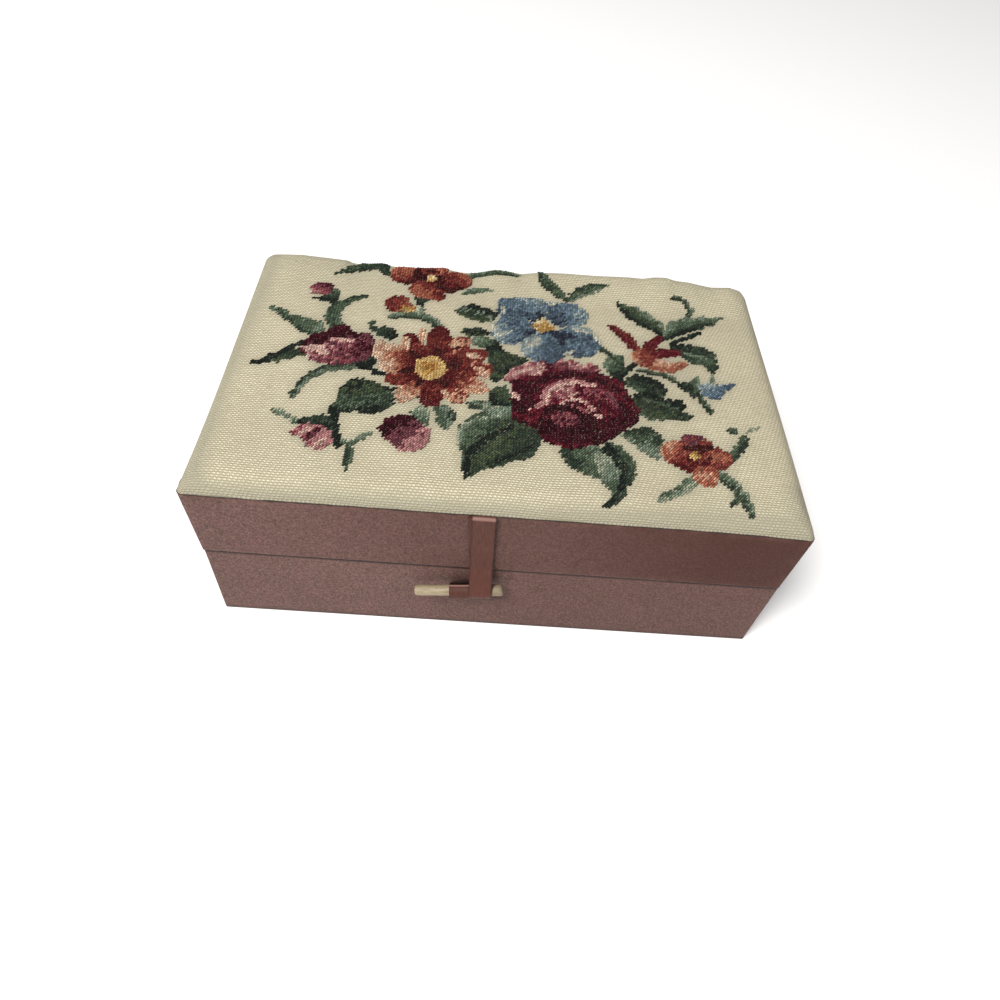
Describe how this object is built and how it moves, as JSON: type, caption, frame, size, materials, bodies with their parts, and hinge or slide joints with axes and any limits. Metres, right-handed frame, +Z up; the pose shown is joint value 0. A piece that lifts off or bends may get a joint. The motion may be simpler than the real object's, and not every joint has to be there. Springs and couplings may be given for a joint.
{
  "type": "jewelry box",
  "caption": "Silk-covered card box with a hinged, padded lid under floral needlework canvas, a strap and peg clasp, and a lift-out divided tray.",
  "frame": {"origin": "on the flat underside, straight below the middle of the lid", "axes": "+X to the right along the box's length, seen from the front; +Y to the back, where the hinge is; +Z up"},
  "size_m": [0.2036, 0.1327, 0.0775],
  "materials": {
    "cover_silk": "satin",
    "ribbon": "satin",
    "canvas": "matte",
    "bone": "satin",
    "lining_silk": "satin",
    "roll_velvet": "matte",
    "card_board": "matte",
    "base_paper": "matte",
    "wadding": "matte",
    "mirror_glass": "polished"
  },
  "bodies": {
    "case": {"base_sheet": "base_paper", "base_board": "card_board", "case_front_board": "card_board", "case_back_board": "card_board", "case_left_board": "card_board", "case_right_board": "card_board", "case_silk": "cover_silk", "case_front_lining": "lining_silk", "case_back_lining": "lining_silk", "case_left_lining": "lining_silk", "case_right_lining": "lining_silk", "case_floor_pad": "lining_silk", "peg_loop": "ribbon", "hinge_cloth_outer": "cover_silk", "hinge_cloth_inner": "lining_silk"},
    "lid": {"lid_front_board": "card_board", "lid_back_board": "card_board", "lid_left_board": "card_board", "lid_right_board": "card_board", "lid_deck_board": "card_board", "lid_silk": "cover_silk", "lid_ceiling_lining": "lining_silk", "lid_front_lining": "lining_silk", "lid_back_lining": "lining_silk", "lid_left_lining": "lining_silk", "lid_right_lining": "lining_silk", "pad_board": "card_board", "lid_wadding": "wadding", "embroidered_canvas": "canvas", "lid_mirror": "mirror_glass", "mirror_frame": "lining_silk"},
    "strap": {"clasp_strap": "ribbon"},
    "peg": {"bone_peg": "bone"},
    "tray": {"tray_floor": "lining_silk", "tray_front_wall": "lining_silk", "tray_back_wall": "lining_silk", "tray_left_wall": "lining_silk", "tray_right_wall": "lining_silk", "tray_cross_divider": "lining_silk", "tray_long_divider": "lining_silk", "tray_short_divider": "lining_silk", "ring_roll_1": "roll_velvet", "ring_roll_2": "roll_velvet", "ring_roll_3": "roll_velvet", "ring_roll_4": "roll_velvet", "ring_roll_5": "roll_velvet", "ring_roll_6": "roll_velvet", "tray_pull_left": "ribbon", "tray_pull_right": "ribbon"}
  },
  "joints": [
    {"name": "lid_hinge", "type": "hinge", "parent": "case", "child": "lid", "pos_m": [0, 0.0632, 0.0385], "axis": [-1, 0, 0], "range_deg": [0, 100], "deforming": ["hinge_cloth_outer", "hinge_cloth_inner"]},
    {"name": "strap_swing", "type": "hinge", "parent": "lid", "child": "strap", "pos_m": [-0.0062, -0.0641, 0.0681], "axis": [-1, 0, 0], "range_deg": [0, 120]},
    {"name": "peg_slide", "type": "slide", "parent": "strap", "child": "peg", "axis": [0.9932, 0, 0.1167], "range_m": [0, 0.0204], "deforming": ["peg_loop"]},
    {"name": "tray_lift", "type": "slide", "parent": "case", "child": "tray", "axis": [0, 0, 1], "range_m": [0, 0.021]}
  ]
}
